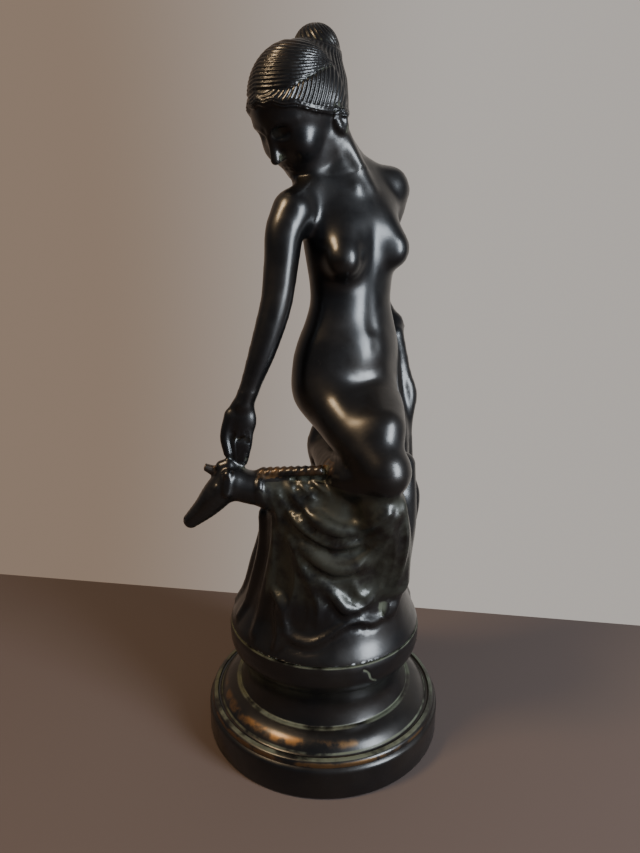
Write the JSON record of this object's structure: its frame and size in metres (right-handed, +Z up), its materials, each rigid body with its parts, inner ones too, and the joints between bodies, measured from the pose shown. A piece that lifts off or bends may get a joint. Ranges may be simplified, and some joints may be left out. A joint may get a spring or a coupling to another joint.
{
  "type": "bronze nude statuette",
  "caption": "Dark bronze statuette of a kneeling nude with bowed head, one hand on the neck of an animal beside her draped seat, on a round turned plinth.",
  "frame": {"origin": "centre of the plinth's underside", "axes": "+Z up along the plinth's axis, the front of the work, as pictured, towards -Y, +X to the viewer's right"},
  "size_m": [0.1344, 0.13, 0.3592],
  "materials": {
    "figure_bronze": "cast bronze under a near-black brown patina, waxed and rubbed to a gloss, with worn gold-brown high spots and grey-green verdigris in the hollows",
    "plinth_bronze": "turned bronze under the same near-black patina, worn golden at the front edge, verdigris in the grooves"
  },
  "bodies": {
    "root": {"figure": "figure_bronze", "plinth": "plinth_bronze"}
  },
  "joints": []
}
